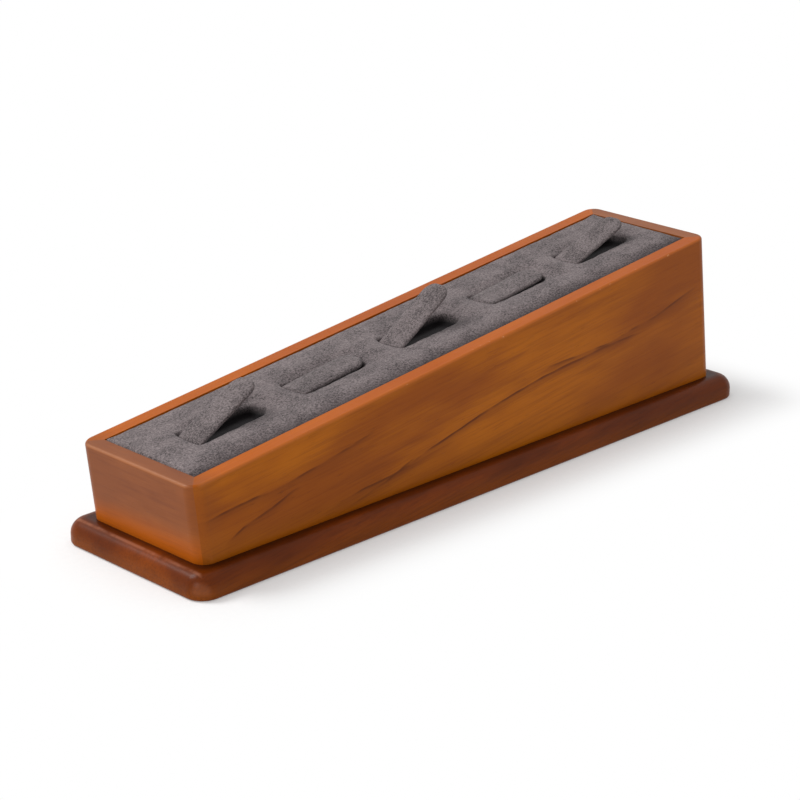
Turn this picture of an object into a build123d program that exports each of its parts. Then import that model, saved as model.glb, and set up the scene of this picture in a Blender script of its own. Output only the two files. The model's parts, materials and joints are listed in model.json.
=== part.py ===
from build123d import *
import math
import os

# Jewelry display stand: a sloping wooden box on a plinth, with a padded top and five tongues that lift.
# Millimetres. X runs along the length to the high end, Y across it, Z up from the table.

# Plinth
plinth_length = 190.0
plinth_width = 50.0
plinth_thickness = 6.3
plinth_corner_radius = 5.0
plinth_top_round = 3.8
plinth_foot_round = 0.9

# Box body, measured along its sloping top
body_slope = 6.63
body_top_length = 178.5
body_width = 40.4
body_low_edge_x = -92.4
body_low_edge_z = 25.7
board_thickness = 4.2
body_corner_radius = 3.5
mitre_reach = 2.0
body_top_round = 0.7

# Pad, with its levels measured square to the sloping top
pad_fit = 0.15
pad_top = 0.3
pad_corner_radius = 2.0
pad_roll_radius = 1.2
skin_thickness = 0.65
foam_thickness = 3.3
base_sheet_thickness = 2.35
pad_board_thickness = 1.5

# Rails under the pad
rail_width = 3.5
rail_height = 4.0

# Tongues
tongue_count = 5
tongue_first = 16.75
tongue_pitch = 32.22
tongue_length = 20.5
tongue_width = 7.8
tongue_thickness = 1.8
tongue_end_radius = 3.3
tongue_root_round = 0.85
tongue_edge_round = 0.6
tongue_rest_angles = (23.0, 2.0, 27.0, 2.5, 15.0)
leaf_width = 6.2
leaf_thickness = 0.5
leaf_end_margin = 1.0
leaf_end_radius = 2.6
tab_length = 9.0

# Slots that the tongues lie in
slot_root_gap = 0.12
slot_side_gap = 0.7
slot_end_gap = 0.8
slot_end_radius = 4.0
slot_root_radius = 0.4
slot_lip_round = 0.8

# Glue blocks and the screws through the plinth
block_length = 9.0
block_width = 20.0
block_height = 8.0
screw_spacing = 11.0
screw_shank_radius = 1.4
screw_head_radius = 2.8
screw_head_height = 1.6
screw_head_recess = 0.4
screw_length = 12.0
screw_tip_length = 2.0
screw_tip_radius = 0.3
screw_hole_gap = 0.1
driver_slot_width = 0.7
driver_slot_length = 2.8
driver_slot_depth = 0.9

body_half_width = body_width / 2
inner_half_width = body_half_width - board_thickness
inner_low_end = board_thickness
inner_high_end = body_top_length - board_thickness
foam_top = pad_top - skin_thickness
foam_bottom = foam_top - foam_thickness
base_sheet_bottom = foam_bottom - base_sheet_thickness
pad_bottom = base_sheet_bottom - pad_board_thickness
hinge_level = pad_top - tongue_thickness / 2
tongue_roots = [tongue_first + tongue_pitch * step for step in range(tongue_count)]
slope = math.radians(body_slope)
wall_depth = 2 * (body_low_edge_z + body_top_length * math.sin(slope))
sloping_top = Plane(
    origin=(body_low_edge_x, 0, body_low_edge_z),
    x_dir=(math.cos(slope), 0, math.sin(slope)),
    z_dir=(-math.sin(slope), 0, math.cos(slope)),
)
on_top = sloping_top.location


def slab(u0, u1, y0, y1, w0, w1):
    centre = Pos((u0 + u1) / 2, (y0 + y1) / 2, (w0 + w1) / 2)
    return centre * Box(u1 - u0, y1 - y0, w1 - w0)


def rounded_slab(u0, u1, y0, y1, w0, w1, corner_radius):
    block = slab(u0, u1, y0, y1, w0, w1)
    return fillet(block.edges().filter_by(Axis.Z), corner_radius)


def tongue_plan(u0, u1, half_width, end_radius, root_radius, w0, w1):
    block = slab(u0, u1, -half_width, half_width, w0, w1)
    corners = block.edges().filter_by(Axis.Z).sort_by(Axis.X)
    block = fillet(corners[2:], end_radius)
    if root_radius:
        corners = block.edges().filter_by(Axis.Z).sort_by(Axis.X)
        block = fillet(corners[:2], root_radius)
    return block


def save(shape, node):
    export_step(shape, "parts/" + node + ".step")


os.makedirs("parts", exist_ok=True)

# Plinth with a rounded edge all round, drilled and countersunk from below
plinth = rounded_slab(
    -plinth_length / 2, plinth_length / 2,
    -plinth_width / 2, plinth_width / 2,
    0, plinth_thickness, plinth_corner_radius,
)
plinth = fillet(plinth.faces().sort_by(Axis.Z)[-1].edges(), plinth_top_round)
plinth = fillet(plinth.faces().sort_by(Axis.Z)[0].edges(), plinth_foot_round)

# Four boards mitred at the corners, square to the sloping top and cut level at the plinth
walls = rounded_slab(
    0, body_top_length, -body_half_width, body_half_width, -wall_depth, 0, body_corner_radius
)
walls = fillet(walls.faces().sort_by(Axis.Z)[-1].edges(), body_top_round)
walls -= slab(
    inner_low_end, inner_high_end, -inner_half_width, inner_half_width, -wall_depth, 1
)
below_body = Pos(0, 0, plinth_thickness - wall_depth) * Box(
    2 * plinth_length, 2 * plinth_width, 2 * wall_depth
)


def mitre_wedge(corner_u, inwards):
    outside = corner_u - inwards * mitre_reach
    edge = body_half_width + mitre_reach
    outline = Polyline(
        (outside, -edge), (corner_u + inwards * body_half_width, 0), (outside, edge), close=True
    )
    return Pos(0, 0, -wall_depth) * extrude(make_face(outline), wall_depth + 1)


low_wedge = mitre_wedge(0, 1)
high_wedge = mitre_wedge(body_top_length, -1)
side_boards = walls - low_wedge - high_wedge
near_half = slab(-1, body_top_length + 1, -body_width, 0, -wall_depth, 1)
far_half = slab(-1, body_top_length + 1, 0, body_width, -wall_depth, 1)
save(on_top * (walls & low_wedge) - below_body, "low_end_board")
save(on_top * (walls & high_wedge) - below_body, "high_end_board")
save(on_top * (side_boards & near_half) - below_body, "near_side_board")
save(on_top * (side_boards & far_half) - below_body, "far_side_board")

# Rails glued inside the long boards to carry the pad
for node, side in (("near_rail", -1), ("far_rail", 1)):
    outer, inner = side * inner_half_width, side * (inner_half_width - rail_width)
    rail = slab(
        inner_low_end, inner_high_end, min(outer, inner), max(outer, inner),
        pad_bottom - rail_height, pad_bottom,
    )
    save(on_top * rail, node)

# Glue blocks inside the end boards, and the screws that hold the plinth to them
block_zone = Pos(0, 0, plinth_thickness + block_height / 2) * Box(
    2 * plinth_length, block_width, block_height
)
block_spans = {
    "low_block": (inner_low_end, inner_low_end + block_length),
    "high_block": (inner_high_end - block_length, inner_high_end),
}
screw_tip_z = screw_head_recess + screw_length
screw_profile = Polyline(
    (0, screw_head_recess),
    (screw_head_radius, screw_head_recess),
    (screw_shank_radius, screw_head_recess + screw_head_height),
    (screw_shank_radius, screw_tip_z - screw_tip_length),
    (screw_tip_radius, screw_tip_z),
    (0, screw_tip_z),
    close=True,
)
screw = revolve(make_face(Plane.XZ * screw_profile), Axis.Z)
driver_slot_z = screw_head_recess + driver_slot_depth / 2
for turn in (0, 90):
    screw -= Pos(0, 0, driver_slot_z) * Rot(0, 0, turn) * Box(
        driver_slot_length, driver_slot_width, driver_slot_depth
    )
screw_hole = Pos(0, 0, plinth_thickness / 2) * Cylinder(
    screw_shank_radius + screw_hole_gap, plinth_thickness
)
countersink = Pos(0, 0, screw_head_recess + screw_head_height / 2) * Cone(
    screw_head_radius, screw_shank_radius, screw_head_height
)
head_recess = Pos(0, 0, screw_head_recess / 2) * Cylinder(screw_head_radius, screw_head_recess)
screw_number = 0
for node, (u0, u1) in block_spans.items():
    block = (on_top * slab(u0, u1, -body_width, body_width, -wall_depth, 0)) & block_zone
    screw_x = block.center().X
    for side in (-1, 1):
        screw_number += 1
        at = Pos(screw_x, side * screw_spacing / 2, 0)
        plinth -= at * (screw_hole + countersink + head_recess)
        block -= at * screw
        save(at * screw, f"screw_{screw_number}")
    save(block, node)
save(plinth, "plinth")

# Pad: a microfibre skin over a die-cut foam sheet, a plain foam sheet and a board
pad_u0 = inner_low_end + pad_fit
pad_u1 = inner_high_end - pad_fit
pad_half_width = inner_half_width - pad_fit


def slots(grow, w0, w1):
    cut = Part()
    for root in tongue_roots:
        cut += tongue_plan(
            root - tongue_thickness / 2 - slot_root_gap - grow,
            root + tongue_length + slot_end_gap + grow,
            tongue_width / 2 + slot_side_gap + grow,
            slot_end_radius + grow, slot_root_radius, w0, w1,
        )
    return cut


def rolled_pad(inset, top):
    pad = rounded_slab(
        pad_u0 + inset, pad_u1 - inset, inset - pad_half_width, pad_half_width - inset,
        pad_bottom, top, pad_corner_radius - inset,
    )
    return fillet(pad.faces().sort_by(Axis.Z)[-1].edges(), pad_roll_radius - inset)


core = rolled_pad(skin_thickness, foam_top)
foam_zone = slab(0, body_top_length, -body_width, body_width, foam_bottom, foam_top)
foam = (core & foam_zone) - slots(skin_thickness, foam_bottom, foam_top)
skin = rolled_pad(0, pad_top) - slots(0, foam_bottom, pad_top)
slot_mouths = skin.faces().sort_by(Axis.Z)[-1].inner_wires()
skin = fillet([edge for wire in slot_mouths for edge in wire.edges()], slot_lip_round)
skin -= foam
skin -= core & slab(0, body_top_length, -body_width, body_width, pad_bottom, foam_bottom)

# Tongues: a bendable leaf in a microfibre sleeve, hinged at the root on a tab fixed under the skin
leaf_half_width = leaf_width / 2
leaf_half = leaf_thickness / 2
sleeve_half = tongue_thickness / 2
leaf = tongue_plan(
    -leaf_half, tongue_length - leaf_end_margin, leaf_half_width, leaf_end_radius, 0,
    -leaf_half, leaf_half,
)
sleeve = tongue_plan(
    -sleeve_half, tongue_length, tongue_width / 2, tongue_end_radius, 0,
    -sleeve_half, sleeve_half,
)
root_edges = sleeve.edges().filter_by(Axis.Y).sort_by(Axis.X)[:2]
sleeve = fillet(root_edges, tongue_root_round)
rim_faces = sleeve.faces().filter_by(Axis.Z)
rim_edges = [
    edge for face in rim_faces for edge in face.edges() if edge.center().X > 1
]
sleeve = fillet(rim_edges, tongue_edge_round)
sleeve -= leaf
sleeve -= slab(-sleeve_half, 0, -leaf_half_width, leaf_half_width, -leaf_half, leaf_half)
for number, (root, angle) in enumerate(zip(tongue_roots, tongue_rest_angles), start=1):
    tab_end = root - sleeve_half - slot_root_gap - skin_thickness
    tab = slab(
        tab_end - tab_length, tab_end, -leaf_half_width, leaf_half_width,
        foam_top - leaf_thickness, foam_top,
    )
    foam -= tab
    skin -= tab
    at_hinge = on_top * Pos(root, 0, hinge_level) * Rot(0, -angle, 0)
    save(on_top * tab, f"tongue_tab_{number}")
    save(at_hinge * leaf, f"tongue_leaf_{number}")
    save(at_hinge * sleeve, f"tongue_sleeve_{number}")

save(on_top * foam, "pad_foam")
save(on_top * skin, "pad_skin")
base_sheet = core & slab(
    0, body_top_length, -body_width, body_width, base_sheet_bottom, foam_bottom
)
save(on_top * base_sheet, "pad_base_sheet")
pad_board = core & slab(
    0, body_top_length, -body_width, body_width, pad_bottom, base_sheet_bottom
)
save(on_top * pad_board, "pad_board")
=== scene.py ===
# %% [markdown]
# # A sloping display stand with a tongue pad
# The stand is a small lacquered box that rises from one end to the other, on a
# darker plinth. A suede pad fills its top, and five tongues of the same suede
# lie in slots in the pad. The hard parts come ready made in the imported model.
# This lesson gives them their finish, and makes the soft parts as cloth.

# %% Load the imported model
import bpy
import bmesh
import json
import math
from mathutils import Matrix, Vector, noise


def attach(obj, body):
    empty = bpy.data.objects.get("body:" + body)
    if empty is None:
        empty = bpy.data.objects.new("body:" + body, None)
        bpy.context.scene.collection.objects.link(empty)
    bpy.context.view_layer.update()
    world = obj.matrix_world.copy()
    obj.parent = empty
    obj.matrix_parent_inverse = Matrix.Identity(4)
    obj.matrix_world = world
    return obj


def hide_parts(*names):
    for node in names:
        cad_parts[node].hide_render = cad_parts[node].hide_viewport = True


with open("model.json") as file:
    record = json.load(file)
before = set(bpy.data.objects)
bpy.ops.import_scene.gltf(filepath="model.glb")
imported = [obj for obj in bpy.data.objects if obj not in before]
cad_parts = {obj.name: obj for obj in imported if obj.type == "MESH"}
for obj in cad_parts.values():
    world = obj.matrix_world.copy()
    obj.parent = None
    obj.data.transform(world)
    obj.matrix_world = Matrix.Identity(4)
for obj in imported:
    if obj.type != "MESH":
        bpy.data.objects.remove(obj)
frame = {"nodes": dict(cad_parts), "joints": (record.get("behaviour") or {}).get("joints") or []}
nodes, joints = frame["nodes"], frame["joints"]
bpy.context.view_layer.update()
print("parts:", len(nodes), "joints:", len(joints))

# %% [markdown]
# The sloping top is the place where most of the work happens, so it gets its
# own directions: along the slope, across it, and square to it. The slope is
# read from the hinges, which stand in a row along the middle of the top.

# %% Directions on the sloping top
MM = 0.001
hinges = {joint["child"]: Vector(joint["pos_m"]) for joint in joints}
low_hinge, high_hinge = hinges["tongue_1"], hinges["tongue_5"]
along = (high_hinge - low_hinge).normalized()
across = Vector((0.0, 1.0, 0.0))
square = along.cross(across)
slope = math.atan2(along.z, along.x)
to_top = Matrix.Translation(low_hinge) @ Matrix((along, across, square)).transposed().to_4x4()
from_top = to_top.inverted()
print("slope in degrees:", round(math.degrees(slope), 2))

# %% [markdown]
# ## The camera
# The picture was taken from the low end's corner, a little above the top, with
# a long lens. Where it stood was worked out from the stand's straight edges,
# by moving a pretend camera until the edges fell where the picture has them.
# Its three directions are written out, so nothing needs aiming.

# %% Set up the camera
camera_data = bpy.data.cameras.new("view")
camera = bpy.data.objects.new("view", camera_data)
bpy.context.collection.objects.link(camera)
camera_place = Vector((-0.395776, -0.393181, 0.223811))
picture_right = Vector((0.712375, -0.701797, -0.001807))
picture_down = Vector((-0.245167, -0.246448, -0.937634))
into_picture = Vector((0.657583, 0.668390, -0.347621))
turned = Matrix((picture_right, -picture_down, -into_picture)).transposed().to_4x4()
camera.matrix_world = Matrix.Translation(camera_place) @ turned
sensor_width, picture_width, lens_in_pixels = 36.0, 800.0, 2378.0
camera_data.sensor_width = sensor_width
camera_data.lens = sensor_width * lens_in_pixels / picture_width
camera_data.clip_start = 0.01
bpy.context.scene.camera = camera
print("lens in mm:", round(camera_data.lens, 1))

# %% [markdown]
# ## A way to write finishes
# A finish is a chain of shader nodes. It is easier to read as sums, so a small
# class stands for one value on its way through the chain. Adding or scaling it
# adds a Math node, and one method adds any other kind of node.

# %% One value in a finish
class Tint:
    def __init__(self, tree, socket=None):
        self.tree, self.socket = tree, socket

    def node(self, kind, settings=None, output=0, **values):
        made = self.tree.nodes.new(kind)
        for name, setting in (settings or {}).items():
            if name == "stops":
                ramp = made.color_ramp.elements
                while len(ramp) < len(setting):
                    ramp.new(0.5)
                for stop, (place, colour) in zip(ramp, setting):
                    stop.position, stop.color = place, colour
            else:
                setattr(made, name, setting)
        for name, value in values.items():
            key = int(name[1:]) if name[0] == "_" else name.replace("_", " ")
            if isinstance(value, Tint):
                self.tree.links.new(value.socket, made.inputs[key])
            else:
                made.inputs[key].default_value = value
        return Tint(self.tree, made.outputs[output])

    def sum(self, operation, first, second):
        return self.node("ShaderNodeMath", {"operation": operation}, _0=first, _1=second)

    def __add__(self, other):
        return self.sum("ADD", self, other)

    def __sub__(self, other):
        return self.sum("SUBTRACT", self, other)

    def __rsub__(self, other):
        return self.sum("SUBTRACT", other, self)

    def __mul__(self, other):
        return self.sum("MULTIPLY", self, other)

    def __truediv__(self, other):
        return self.sum("DIVIDE", self, other)

    __radd__, __rmul__ = __add__, __mul__

    def between(self, low, high):
        return self.node(
            "ShaderNodeMapRange", {"interpolation_type": "SMOOTHSTEP"},
            _0=self, _1=low, _2=high, _3=0.0, _4=1.0,
        )

    def mixed(self, first, second, blend="MIX"):
        settings = {"data_type": "RGBA", "blend_type": blend, "clamp_factor": True}
        return self.node("ShaderNodeMix", settings, 2, _0=self, _6=first, _7=second)

    def cloud(self, size, detail=3.0, roughness=0.5, squash=(1, 1, 1), shift=(0, 0, 0)):
        scaled = self.node(
            "ShaderNodeMapping", _3=tuple(part / size for part in squash), _1=shift, _0=self
        )
        return scaled.node(
            "ShaderNodeTexNoise", Vector=scaled, Scale=1.0, Detail=detail, Roughness=roughness
        )


def colour(red, green, blue):
    parts = [part / 255 for part in (red, green, blue)]
    curve = [p / 12.92 if p < 0.04045 else ((p + 0.055) / 1.055) ** 2.4 for p in parts]
    return (*curve, 1.0)


print("orange-brown as light:", [round(part, 3) for part in colour(150, 84, 30)])

# %% [markdown]
# Every finish starts the same way, with one shader and a position measured in
# millimetres on the stand. Numbers that are the same all over are set on the
# shader itself.

# %% Start a finish
def finish(name, **fixed):
    material = bpy.data.materials.new(name)
    material.use_nodes = True
    tree = material.node_tree
    shader = tree.nodes["Principled BSDF"]
    for key, value in fixed.items():
        shader.inputs[key.replace("_", " ")].default_value = value
    start = Tint(tree)
    place = start.node("ShaderNodeTexCoord", output=3)
    place = start.node(
        "ShaderNodeVectorMath", {"operation": "SCALE"}, _0=place, _3=1000.0
    )
    return material, shader, place


def feed(shader, **links):
    for key, value in links.items():
        value.tree.links.new(value.socket, shader.inputs[key.replace("_", " ")])


def raised(height, depth_mm, strength=1.0):
    return height.node(
        "ShaderNodeBump", Height=height, Distance=depth_mm * MM, Strength=strength
    )


def dress(material, *names):
    for name in names:
        for place in nodes[name].material_slots:
            place.material = material


# %% [markdown]
# ## Lacquered wood
# The box is stained wood under a satin lacquer. Stained boards show wide soft
# patches, arches where growth rings run out, fine fibres along the grain, and
# short dark pores. A noise stretched along the board gives the patches, fibres
# and pores. All of it is placed by the distance along the sloping top, across
# it and below it, because the grain runs with the slope.

# %% Distances along, across and below the top
hinge_from_end, hinge_below_top = 16.75, 0.6
top_start = low_hinge - along * (hinge_from_end * MM) + square * (hinge_below_top * MM)
top_shift = (-top_start.dot(along) / MM, 0.0, -top_start.dot(square) / MM)


def on_slope(place):
    return place.node("ShaderNodeMapping", _0=place, _1=top_shift, _2=(0.0, slope, 0.0))


def parts_of(place):
    split = place.node("ShaderNodeSeparateXYZ", Vector=place)
    return [Tint(place.tree, split.socket.node.outputs[axis]) for axis in range(3)]


def size_of(number):
    return number.sum("ABSOLUTE", number, 0.0)


print("top starts at", [round(part / MM, 2) for part in top_start])

# %% [markdown]
# The big arches are what the eye remembers of a board, so they are drawn. Each
# one is a line through a few points, held in a grey ramp: the place along the
# board goes in and the line's height comes out. A thin dark core follows the
# line, and a softer shade spreads below it. The line wanders a little, and
# fades at both ends.

# %% Draw one arch of grain
board_from, board_length, board_height = -96.0, 192.0, 50.0


def arch(place, points, core=0.3, shade=3.2, wander=1.5):
    run, _, height = parts_of(place)
    stops = [((x - board_from) / board_length, (*[z / board_height] * 3, 1.0)) for x, z in points]
    along_board = (run - board_from) / board_length
    line = place.node("ShaderNodeValToRGB", {"stops": stops}, Fac=along_board)
    drift = place.cloud(11.0, 3.0, 0.55, squash=(0.6, 1, 1), shift=(points[0][0], 0, 3)) - 0.5
    below = line * board_height - height + drift * wander
    sharp = below.between(-core, 0.0) - below.between(0.0, core * 2.5)
    soft = below.between(-core, core) - below.between(core, shade)
    first, last = points[0][0], points[-1][0]
    seen = run.between(first - 3, first + 6) - run.between(last - 7, last + 3)
    gaps = place.cloud(6.0, 2.0, 0.6, squash=(0.5, 1, 1), shift=(2, 5, points[0][1]))
    return seen * sharp * gaps.between(0.3, 0.62), seen * soft


# %% [markdown]
# The wood itself is one function, and each board gives it its own tones, seed
# and arches. Each board turns more golden towards the foot of the box, and
# redder orange on its narrow top. A thin pale line along the top edges is a
# painted highlight, with tiny chips in it where the lacquer has worn through to
# paler wood. Near the low end a long board takes the tone of the end board, so
# that the joint at the corner hardly shows.

# %% Make a wood finish
box_half_width = 20.1
blend_from, blend_to = -90.4, -82.0


def pore_bump(place, fibres, pores):
    return raised(fibres * 0.5 - pores * 0.6 + place.cloud(2.2, 2.0) * 0.7, 0.035)


def wood(name, tones, seed, arches=(), foot=None, top_edge_distance=None, extra=None, coat=0.1, roughness=0.38):
    light, deep, band, streak = tones
    material, shader, place = finish(
        name, Coat_Weight=coat, Coat_Roughness=0.22, Specular_IOR_Level=0.05
    )
    slant = on_slope(place)
    u, y, w = parts_of(slant)
    patch = slant.cloud(24.0, 3.0, 0.55, squash=(0.35, 1, 1), shift=(seed, 4, 2))
    tone = patch.between(0.38, 0.62).mixed(light, deep)
    ripple = slant.cloud(3.4, 3.0, 0.6, squash=(0.09, 1, 1), shift=(seed, 1, 7))
    tone = (ripple.between(0.48, 0.72) * 0.36).mixed(tone, band)
    for points in arches:
        sharp, soft = arch(place, points)
        tone = (soft * 0.46).mixed(tone, band)
        tone = (sharp * 0.82).mixed(tone, streak)
    if foot:
        bright_to, gone_by, most, bright = foot
        height = parts_of(place)[2] + (patch - 0.5) * 8.0
        glow = 1 - height.between(bright_to, gone_by)
        tone = (glow * most).mixed(tone, bright)
    fibres = slant.cloud(0.5, 4.0, 0.65, squash=(0.03, 1, 1), shift=(seed, 0, 0))
    pores = slant.cloud(0.26, 2.0, 0.5, squash=(0.07, 1, 1), shift=(5, seed, 8)).between(0.66, 0.78)
    tone = (fibres.between(0.44, 0.66) * 0.3).mixed(tone, band)
    tone = (pores * 0.4).mixed(tone, streak)
    if top_edge_distance:
        tone = (u.between(70.0, 170.0) * 0.22).mixed(tone, deep)
        tone = (w.between(-0.7, -0.1) * 0.6).mixed(tone, colour(180, 84, 10))
        low_corner = 1 - parts_of(place)[0].between(blend_from, blend_to)
        tone = (low_corner * 0.55).mixed(tone, colour(134, 70, 22))
        # A thin pale line along the top edge is a painted highlight; the chips in it are wear.
        edge = 1 - top_edge_distance(u, y, w).between(0.15, 1.0)
        chips = place.cloud(1.4, 2.0, 0.6, shift=(seed, 3, 1)).between(0.66, 0.72)
        tone = (edge * (0.16 + chips * 0.6)).mixed(tone, colour(206, 142, 96))
    if extra:
        tone = extra(place, tone)
    smudge = place.cloud(9.0, 3.0, 0.6)
    rough = roughness + (smudge - 0.5) * 0.22 + pores * 0.12
    feed(shader, Base_Color=tone, Roughness=rough, Normal=pore_bump(place, fibres, pores))
    return material


# %% [markdown]
# The near board has two long arches that climb to the high end, and a few short
# ones low down. The far board is not in the picture, so it gets arches of the
# same kind in other places. Both are plain orange-brown, and browner towards
# the high end.

# %% Dress the long boards
side_tones = colour(176, 98, 10), colour(144, 73, 12), colour(112, 52, 14), colour(62, 24, 8)
gold_foot = (7.0, 14.0, 0.55, colour(160, 88, 4))
near_arches = (
    ((-33.2, 11.1), (-1.8, 18.9), (20.5, 23.0), (58.9, 26.2)),
    ((20.1, 25.0), (46.7, 25.9), (64.5, 28.8), (81.1, 32.7)),
    ((-89.9, 16.2), (-78.2, 18.0), (-64.1, 19.2), (-50.0, 21.4), (-38.0, 24.0)),
    ((-84.1, 9.6), (-78.0, 12.4), (-70.0, 14.2), (-62.0, 17.0)),
    ((-53.5, 8.2), (-40.1, 11.0), (-25.9, 12.2), (-12.0, 14.6)),
    ((-45.3, 7.6), (-33.8, 10.4), (-24.0, 14.0)),
)
far_arches = (
    ((-70.0, 9.0), (-30.0, 14.0), (10.0, 17.5), (50.0, 23.0)),
    ((-20.0, 22.0), (20.0, 26.5), (50.0, 31.0), (84.0, 38.0)),
    ((20.0, 9.0), (45.0, 12.5), (80.0, 21.0)),
    ((-88.0, 15.0), (-60.0, 19.5), (-30.0, 25.5)),
)


def long_edge(side):
    return lambda u, y, w: size_of(y - side * box_half_width) + size_of(w)


near_wood = wood(
    "near_side_wood", side_tones, 14.0, near_arches, gold_foot, long_edge(-1)
)
far_wood = wood("far_side_wood", side_tones, 61.0, far_arches, gold_foot, long_edge(1))
dress(near_wood, "near_side_board")
dress(far_wood, "far_side_board")
print("long boards dressed, arches:", len(near_arches) + len(far_arches))

# %% [markdown]
# The end boards are short, and their grain runs level across them, so they get
# a function of their own, in which the noise is stretched across the stand. They
# are pinker than the sides, with a bright orange foot, and a painted highlight,
# a pale line, on the outer top edge. Near the corner that shows they turn to the
# sides' orange.

# %% Dress the end boards
end_tones = colour(142, 80, 38), colour(126, 68, 32), colour(106, 52, 26), colour(82, 38, 18)
orange_foot = (7.0, 15.0, 0.9, colour(172, 84, 0))
low_edge_at, high_edge_at = 0.1, 178.4


def end_wood(name, seed, edge_at):
    material, shader, place = finish(
        name, Coat_Weight=0.16, Coat_Roughness=0.3, Specular_IOR_Level=0.08
    )
    light, deep, band, streak = end_tones
    u, y, w = parts_of(on_slope(place))
    height = parts_of(place)[2]
    patch = place.cloud(13.0, 3.0, 0.55, squash=(1, 0.4, 1), shift=(2, seed, 5))
    tone = patch.between(0.34, 0.66).mixed(light, deep)
    rings = place.cloud(2.6, 3.0, 0.6, squash=(0.4, 0.08, 1), shift=(2, seed, 1))
    tone = (rings.between(0.48, 0.7) * 0.42).mixed(tone, band)
    near_corner = 1 - y.between(-20.0, -13.0)
    tone = (near_corner * 0.45).mixed(tone, colour(142, 74, 20))
    bright_to, gone_by, most, bright = orange_foot
    glow = 1 - (height + (patch - 0.5) * 6.0).between(bright_to, gone_by)
    tone = (glow * most).mixed(tone, bright)
    fibres = place.cloud(0.5, 4.0, 0.65, squash=(0.5, 0.03, 1), shift=(1, seed, 0))
    pores = place.cloud(0.26, 2.0, 0.5, squash=(1, 0.07, 1), shift=(seed, 3, 8)).between(0.66, 0.78)
    tone = (fibres.between(0.46, 0.7) * 0.2).mixed(tone, band)
    tone = (pores * 0.28).mixed(tone, streak)
    # A pale line on the outer top edge is a painted highlight.
    edge = 1 - (size_of(u - edge_at) + size_of(w)).between(0.1, 0.8)
    tone = (edge * 0.35).mixed(tone, colour(196, 140, 104))
    rough = 0.42 + (patch - 0.5) * 0.2
    feed(shader, Base_Color=tone, Roughness=rough, Normal=pore_bump(place, fibres, pores))
    return material


dress(end_wood("low_end_wood", 7.0, low_edge_at), "low_end_board")
dress(end_wood("high_end_wood", 31.0, high_edge_at), "high_end_board")

# %% [markdown]
# The plinth is the same wood under a much darker, redder stain, so its grain
# hardly shows. Its lower half is a little more golden. Painted shade darkens the
# corner where the box stands on it, and a broken painted highlight runs along
# the upper edge and the upright corners of its ends.

# %% Dress the plinth
plinth_half_length, plinth_half_width = 95.0, 25.0
box_foot_half_length, box_foot_half_width = 89.9, 20.2
rim_line, rim_height = 92.6, 6.0
corner_from, corner_to = 115.9, 117.0
plinth_tones = colour(120, 52, 4), colour(92, 37, 2), colour(66, 25, 3), colour(46, 16, 3)


def beyond(number, limit):
    return number.sum("MAXIMUM", size_of(number) - limit, 0.0)


def painted_shade_and_highlight(place, tone):
    x, y, z = parts_of(place)
    # A painted shade darkens the top of the plinth close to the box's foot.
    from_box = beyond(x, box_foot_half_length) + beyond(y, box_foot_half_width)
    painted_contact_shade = (1 - from_box.between(0.2, 3.0)) * z.between(4.5, 6.2)
    tone = (painted_contact_shade * 0.72).mixed(tone, colour(40, 13, 4))
    # A broken pale line on the upper edge and the ends' upright corners is a painted highlight.
    rim = size_of(size_of(x) - rim_line) + size_of(z - rim_height)
    corner = (size_of(x) + size_of(y)).between(corner_from, corner_to) * z.between(0.8, 2.4)
    highlight_breaks = place.cloud(5.0, 3.0, 0.6).between(0.25, 0.6)
    painted_highlight = (1 - rim.between(0.1, 0.9)) * 0.36 + corner * 0.14
    return (painted_highlight * highlight_breaks).mixed(tone, colour(186, 122, 92))


golden_half = (0.5, 5.5, 0.6, colour(128, 64, 0))
plinth_wood = wood(
    "plinth_wood", plinth_tones, 33.0, foot=golden_half, extra=painted_shade_and_highlight, coat=0.13
)
dress(plinth_wood, "plinth")

# %% [markdown]
# Inside the box are pieces that nobody sees until it is taken apart: rails and
# glue blocks of raw wood, a backing board, four plated screws, and the bright
# metal strip in each tongue, of which one end lies under the pad's skin.

# %% Dress the hidden parts
raw_tones = colour(206, 172, 128), colour(190, 154, 110), colour(170, 132, 90), colour(146, 108, 70)
raw_wood = wood("raw_wood", raw_tones, 5.0, coat=0.0, roughness=0.75)
dress(raw_wood, "near_rail", "far_rail", "low_block", "high_block")

hardboard, shader, place = finish("hardboard", Roughness=0.8)
chips = place.cloud(1.4, 4.0, 0.7)
feed(
    shader,
    Base_Color=chips.between(0.3, 0.7).mixed(colour(116, 88, 62), colour(150, 120, 88)),
    Normal=raised(chips, 0.08),
)
dress(hardboard, "pad_board")

plated, shader, place = finish("plated_steel", Metallic=1.0)
turning = place.cloud(0.6, 3.0, 0.6)
feed(
    shader,
    Base_Color=turning.between(0.3, 0.7).mixed(colour(186, 176, 148), colour(206, 200, 178)),
    Roughness=0.3 + turning * 0.2,
    Normal=raised(turning, 0.02),
)
dress(plated, *(f"screw_{number}" for number in range(1, 5)))

strip, shader, place = finish("soft_strip", Metallic=1.0)
rolled = place.cloud(0.8, 3.0, 0.6, squash=(0.1, 1, 1))
feed(
    shader,
    Base_Color=rolled.between(0.3, 0.7).mixed(colour(196, 198, 202), colour(214, 215, 218)),
    Roughness=0.32 + rolled * 0.2,
    Normal=raised(rolled, 0.02),
)
for number in range(1, 6):
    dress(strip, f"tongue_leaf_{number}", f"tongue_tab_{number}")
print("hidden parts dressed")
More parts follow.
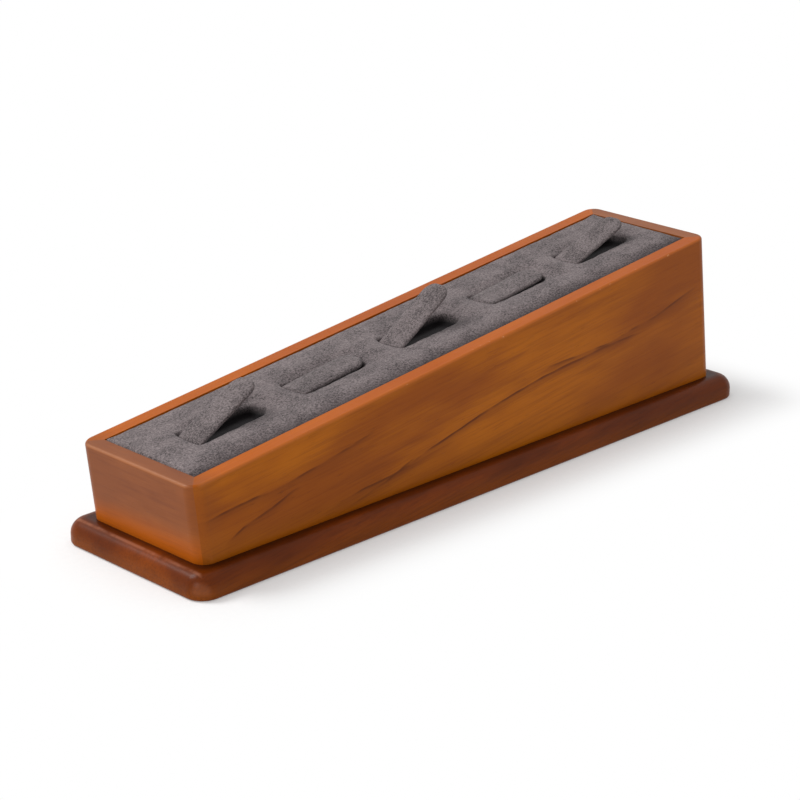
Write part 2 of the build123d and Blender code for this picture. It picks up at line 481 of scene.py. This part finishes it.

# %% [markdown]
# ## Suede
# Microfibre suede is a short brushed nap. Up close it is a speckle of light and
# dark tufts, and further off it has soft patches where a finger has stroked the
# nap one way or the other. The tufts stand up a little, and the nap catches
# light at a shallow angle, which the shader's sheen gives. Painted shade darkens
# the pad where it rolls down at the near edge and where its face sinks below the
# top. Down in the slots it is darker still, partly the dark foam behind the suede
# and partly painted shade.

# %% Make the suede
def suede(name, light, dark):
    material, shader, place = finish(
        name, Sheen_Weight=0.12, Sheen_Roughness=0.5, Specular_IOR_Level=0.08, Roughness=0.95
    )
    tufts = place.cloud(0.48, 4.0, 0.75)
    strands = place.cloud(0.28, 3.0, 0.7, squash=(0.5, 1, 1), shift=(9, 1, 4))
    strokes = place.cloud(6.0, 3.0, 0.62, squash=(0.7, 1, 1))
    nap = tufts.between(0.38, 0.62) * 0.55 + strands.between(0.38, 0.62) * 0.45
    tone = nap.mixed(dark, light)
    tone = ((strokes - 0.5).between(-0.12, 0.12) * 0.22).mixed(tone, light)
    tone = ((0.5 - strokes).between(-0.1, 0.14) * 0.2).mixed(tone, dark)
    side, depth = parts_of(on_slope(place))[1:]
    # Painted shade where the pad rolls down at the near edge.
    painted_near_shade = (1 - side.between(-16.0, -11.2)) * 0.72
    tone = painted_near_shade.mixed(tone, dark)
    # Painted shade where the face sinks below the top; deeper in the slots the dark is partly the
    # foam and partly painted shade.
    painted_dip_shade = (1 - depth.between(-1.3, -0.3)) * 0.3
    inside = (1 - depth.between(-3.0, -1.1)) * 0.75
    tone = (painted_dip_shade + inside).mixed(tone, colour(30, 27, 28))
    height = tufts * 0.8 + strands * 0.5 + strokes * 0.3
    feed(shader, Base_Color=tone, Normal=raised(height, 0.2, 0.8))
    return material


pad_suede = suede("pad_suede", colour(144, 132, 132), colour(40, 35, 37))
slot_foam, shader, place = finish("slot_foam", Roughness=0.95, Specular_IOR_Level=0.1)
cells = place.cloud(0.35, 2.0, 0.6)
feed(
    shader,
    Base_Color=cells.between(0.3, 0.7).mixed(colour(26, 24, 25), colour(44, 41, 42)),
    Normal=raised(cells, 0.12),
)
print("suede made")

# %% [markdown]
# ## The pad
# The real pad is a board and foam wrapped in suede, pressed into the box. Its
# edges roll down to the wood and its face swells a little between the slots.
# A cloth simulation gives that swell: the pad's solids are joined and turned
# into one even skin, air pressure pushes the skin out for a few frames, and
# the swelling is kept small so that the pad still fits its box.

# %% Join the pad's solids into one even skin
def joined(name, sources, voxel):
    work = bmesh.new()
    for source in sources:
        work.from_mesh(nodes[source].data)
    mesh = bpy.data.meshes.new(name)
    work.to_mesh(mesh)
    work.free()
    piece = bpy.data.objects.new(name, mesh)
    bpy.context.collection.objects.link(piece)
    even = piece.modifiers.new("even", "REMESH")
    even.mode, even.voxel_size = "VOXEL", voxel
    settle(piece)
    return piece


def settle(piece):
    graph = bpy.context.evaluated_depsgraph_get()
    shaped = bpy.data.meshes.new_from_object(piece.evaluated_get(graph))
    piece.modifiers.clear()
    piece.data = shaped


pad_solids = ["pad_skin", "pad_foam", "pad_base_sheet", "pad_board"]
pad_solids += [f"tongue_tab_{number}" for number in range(1, 6)]
pad = joined("pad_cloth", pad_solids, (0.55) * MM)
print("pad points:", len(pad.data.vertices))

# %% [markdown]
# The simulation works on a light, stiff cloth with no gravity. Points low down
# on the pad are pinned, so only the face can move. Afterwards each point's
# move is capped.

# %% Swell the pad's face
def swell(piece, pressure, cap, frames, held):
    before = [vertex.co.copy() for vertex in piece.data.vertices]
    pins = piece.vertex_groups.new(name="held")
    for vertex in piece.data.vertices:
        weight = held(vertex.co)
        if weight > 0:
            pins.add([vertex.index], weight, "REPLACE")
    cloth = piece.modifiers.new("cloth", "CLOTH")
    cloth.settings.quality = 4
    cloth.settings.mass = 0.1
    cloth.settings.tension_stiffness = 12
    cloth.settings.compression_stiffness = 12
    cloth.settings.bending_stiffness = 0.4
    cloth.settings.use_pressure = True
    cloth.settings.uniform_pressure_force = pressure
    cloth.settings.vertex_group_mass = "held"
    cloth.settings.effector_weights.gravity = 0
    cloth.collision_settings.use_collision = False
    cloth.point_cache.frame_end = frames
    for step in range(1, frames + 1):
        bpy.context.scene.frame_set(step)
    settle(piece)
    bpy.context.scene.frame_set(1)
    moved = 0.0
    for vertex, start in zip(piece.data.vertices, before):
        move = vertex.co - start
        if move.length > cap:
            vertex.co = start + move * (cap / move.length)
        moved = max(moved, min(move.length, cap))
    return moved


def under_face(point):
    level = (from_top @ point).z / MM
    return min(1.0, max(0.0, (-1.2 - level) / 1.2))


moved = swell(pad, 3.0, 0.45 * MM, 14, under_face)
print("largest swell in mm:", round(moved / MM, 2))

# %% [markdown]
# What the simulation can't know is how hands shaped this pad: the near edge is
# pulled down further than the far one, the face dips beside each tongue, the
# slot's lips close in on the tongue, the crease where a tongue leaves the pad is
# a shallow curve, and the corners fill the corners of the box. These are moved
# as with a sculpting brush, and each stroke says how far it reaches.

# %% Shape the pad
half_pad, low_pad, high_pad = 15.85, -12.4, 157.4
lips_at, near_lips_at, root_at, slot_end = 4.6, 4.8, 1.02, 21.3
near_drop, far_drop = 1.15, 0.1
far_lip_drop, near_lip_drop, tip_drop, root_rise = 0.85, 0.3, 0.3, 0.2
lips_in, tip_in, crease_in = 0.34, 0.45, 0.5
tongue_at = [(from_top @ hinges[f"tongue_{number}"]).x / MM for number in range(1, 6)]


def brush(distance, reach):
    return max(0.0, 1.0 - (distance / reach) ** 2) ** 2 if distance < reach else 0.0


def ease(value, low, high):
    share = min(1.0, max(0.0, (value - low) / (high - low)))
    return share * share * (3 - 2 * share)


def sculpt(point):
    u, y, w = (part / MM for part in from_top @ point)
    face = ease(w, -2.8, 0.1)
    wall = ease(w, -4.0, -2.5)
    near_roll = near_drop * ease(high_pad - u, -3.0, 9.0) + far_drop
    drop = near_roll * brush(max(y + half_pad, 0.0), 5.5)
    drop += far_drop * brush(max(half_pad - y, 0.0), 3.0)
    push_u = push_y = 0.0
    for root in tongue_at:
        start, end = u - root, root + slot_end - u
        inside = ease(start, -0.5, 2.5) * ease(end, -4.5, 1.0)
        drop += far_lip_drop * inside * brush(abs(y - lips_at), 2.9)
        drop += near_lip_drop * inside * brush(abs(y + near_lips_at), 3.4)
        drop += tip_drop * brush(math.hypot(end + 0.3, y * 0.7), 4.0)
        drop -= root_rise * brush(math.hypot(start + 4.5, y * 0.6), 5.5)
        push_y -= math.copysign(lips_in * inside * brush(abs(abs(y) - lips_at), 2.4), y)
        push_u -= tip_in * brush(math.hypot(end, y * 0.45), 2.4)
        crease = max(0.0, 1 - (y / 4.3) ** 2)
        push_u -= crease_in * crease * brush(abs(start + root_at), 2.6)
    for gap, way in ((u - low_pad, -1), (high_pad - u, 1)):
        for rim, side in ((y + half_pad, -1), (half_pad - y, 1)):
            corner = min(0.85, 1.25 * max(0.0, 1 - max(gap, rim, 0.0) / 3.6))
            push_u += way * max(gap, 0.0) * corner
            push_y += side * max(rim, 0.0) * corner
    spot = Vector((u * 0.09, y * 0.13, 2.0))
    drop += 0.16 * noise.noise(spot) + 0.07 * noise.noise(spot * 3.1)
    slide = along * (push_u * wall * MM) + across * (push_y * wall * MM)
    return point - square * (drop * face * MM) + slide


for vertex in pad.data.vertices:
    vertex.co = sculpt(vertex.co)
smooth = pad.modifiers.new("smooth", "SMOOTH")
smooth.factor, smooth.iterations = 0.5, 4
finer = pad.modifiers.new("finer", "SUBSURF")
finer.levels = finer.render_levels = 1
settle(pad)
pad.data.materials.clear()
pad.data.materials.append(pad_suede)
pad.data.shade_smooth()
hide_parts("pad_skin", "pad_foam")
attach(pad, "stand")
print("pad faces:", len(pad.data.polygons))

# %% [markdown]
# At the bottom of each slot is the plain foam sheet that the slotted one is
# glued to. It is a thin slab of dark foam with softened edges.

# %% Make the slot floor
floor_sheet = joined("slot_floor", ["pad_base_sheet"], 0.8 * MM)
for vertex in floor_sheet.data.vertices:
    inner = from_top @ vertex.co
    inner.y *= 0.985
    inner.z += (0.06 * noise.noise(vertex.co * 400) - 0.12) * MM
    vertex.co = to_top @ inner
floor_sheet.data.materials.clear()
floor_sheet.data.materials.append(slot_foam)
floor_sheet.data.shade_smooth()
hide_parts("pad_base_sheet")
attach(floor_sheet, "stand")

# %% [markdown]
# ## The tongues
# A tongue is a bendable strip sewn into a suede sleeve. Seen from above it is a
# long shape with one round end. Its faces are slightly crowned and its edges
# are soft. Each is drawn as rings of points from the middle line outwards, on
# both faces, and rides on its own hinge.

# %% Draw one tongue
tongue_length, tongue_half_width, tongue_half_thick = 20.5, 3.9, 0.9
end_radius, root_back, root_bow = 3.6, 0.86, 0.5


def half_width_at(u):
    end = tongue_length - u
    if end < end_radius:
        rounding = math.sqrt(max(0.0, end_radius ** 2 - (end_radius - end) ** 2))
        return tongue_half_width - end_radius + rounding
    return tongue_half_width


def tongue_mesh(name, seed):
    steps, around = 84, 40
    work = bmesh.new()
    rings = []
    for step in range(steps + 1):
        share = 1 - (1 - step / steps) ** 1.35
        u = -root_back + (tongue_length + root_back) * share
        wide = half_width_at(u)
        thick = tongue_half_thick * 0.98
        if u < 0:
            thick *= math.sqrt(max(0.02, 1 - (u / tongue_half_thick) ** 2))
        end = tongue_length - u
        if end < tongue_half_thick:
            thick *= math.sqrt(max(0.04, 1 - (1 - end / tongue_half_thick) ** 2))
        ring = []
        for turn in range(around):
            angle = 2 * math.pi * turn / around
            side, up = math.cos(angle), math.sin(angle)
            y = wide * math.copysign(abs(side) ** 0.55, side)
            w = thick * math.copysign(abs(up) ** 0.7, up)
            w *= 0.86 + 0.14 * (1 - (y / tongue_half_width) ** 2)
            middle, near_root = 1 - (y / 4.2) ** 2, 1 - max(u, 0.0) / 3.0
            bow = root_bow * max(0.0, middle) * max(0.0, near_root)
            spot = Vector((u * 0.22, y * 0.3, seed * 3.7))
            y += 0.12 * noise.noise(spot + Vector((0, 9, 0)))
            w += 0.07 * noise.noise(spot * 1.7) * min(1.0, max(0.0, u / 3))
            ring.append(work.verts.new(((u - bow) * MM, y * MM, w * MM)))
        rings.append(ring)
    for first, second in zip(rings, rings[1:]):
        for turn in range(around):
            after = (turn + 1) % around
            work.faces.new((first[turn], second[turn], second[after], first[after]))
    work.faces.new(rings[0])
    work.faces.new(tuple(reversed(rings[-1])))
    bmesh.ops.recalc_face_normals(work, faces=work.faces)
    mesh = bpy.data.meshes.new(name)
    work.to_mesh(mesh)
    work.free()
    return mesh


# %% [markdown]
# A tongue lies at its own angle, which is the lower end of its hinge's range
# turned round, because the range starts where the tongue lies flat.

# %% Place the five tongues
sleeve_suede = suede("sleeve_suede", colour(138, 127, 127), colour(42, 37, 38))
for number in range(1, 6):
    joint = next(joint for joint in joints if joint["child"] == f"tongue_{number}")
    lift = -joint["range_deg"][0]
    name = f"tongue_cloth_{number}"
    sleeve = bpy.data.objects.new(name, tongue_mesh(name, number))
    bpy.context.collection.objects.link(sleeve)
    turn = Matrix.Rotation(-math.radians(lift) - slope, 4, "Y")
    sleeve.data.transform(Matrix.Translation(joint["pos_m"]) @ turn)
    sleeve.data.materials.append(sleeve_suede)
    sleeve.data.shade_smooth()
    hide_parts(f"tongue_sleeve_{number}")
    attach(sleeve, f"tongue_{number}")
    print(name, "lifted", round(lift, 1), "degrees")

# %% [markdown]
# ## Floor and light
# The stand is on a white sweep. The floor is pale and takes a soft shadow near
# the plinth, and further out it turns plain white, so that no horizon shows.

# %% Make the floor
def seen_directly(start):
    rays = start.node("ShaderNodeLightPath")
    kinds = rays.socket.node.outputs
    seen = rays + Tint(rays.tree, kinds["Is Glossy Ray"])
    seen = seen + Tint(rays.tree, kinds["Is Transmission Ray"])
    return seen.node("ShaderNodeClamp", Value=seen)


floor_mesh = bpy.data.meshes.new("floor")
floor_mesh.from_pydata(
    [(-3, -3, 0), (3, -3, 0), (3, 3, 0), (-3, 3, 0)], [], [(0, 1, 2, 3)]
)
floor = bpy.data.objects.new("floor", floor_mesh)
bpy.context.collection.objects.link(floor)
paper, shader, place = finish("paper", Roughness=0.9, Specular_IOR_Level=0.1)
grain = place.cloud(1.5, 3.0, 0.6)
feed(shader, Base_Color=grain.between(0.2, 0.8).mixed((0.9, 0.9, 0.9, 1), (0.93, 0.93, 0.93, 1)))
output = next(node for node in paper.node_tree.nodes if node.type == "OUTPUT_MATERIAL")
x, y = parts_of(place)[:2]
gap_x, gap_y = beyond(x, plinth_half_length), beyond(y, plinth_half_width)
reach = place.sum("SQRT", gap_x * gap_x + gap_y * gap_y, 0.0)
white = place.node("ShaderNodeEmission", Color=(1, 1, 1, 1), Strength=1.0)
plain = Tint(shader.id_data, shader.outputs[0])
share = seen_directly(place) * (0.22 + 0.78 * reach.between(-3.0, 24.0))
swept = share.node("ShaderNodeMixShader", _0=share, _1=plain, _2=white)
paper.node_tree.links.new(swept.socket, output.inputs["Surface"])
floor_mesh.materials.append(paper)

# %% [markdown]
# A large soft lamp stands behind the far side and above, so the shadow falls
# on the near side, and a weaker one fills the low end. An even sky does the
# rest. Together they bring out a colour about as it is written.

# %% Place the lamps
def lamp(name, place, aim, size, power):
    data = bpy.data.lights.new(name, "AREA")
    data.shape, data.size, data.energy = "DISK", size, power
    made = bpy.data.objects.new(name, data)
    bpy.context.collection.objects.link(made)
    made.location = place
    made.rotation_euler = (Vector(aim) - Vector(place)).to_track_quat("-Z", "Y").to_euler()
    return made


lamp("main_lamp", (-0.45, 0.55, 0.85), (0, 0, 0.02), 0.5, 7.0)
lamp("low_end_lamp", (-1.1, -0.25, 0.45), (0, 0, 0.02), 0.6, 2.6)
sky = bpy.data.worlds.new("sky")
bpy.context.scene.world = sky
sky.use_nodes = True
sky_light = sky.node_tree.nodes["Background"]
sky_light.inputs["Color"].default_value = (1, 1, 1, 1)
everywhere = 0.62
strength = everywhere + (1 - everywhere) * seen_directly(Tint(sky.node_tree))
sky.node_tree.links.new(strength.socket, sky_light.inputs["Strength"])
bpy.context.scene.view_settings.view_transform = "Standard"
print("lamps:", len(bpy.data.lights))
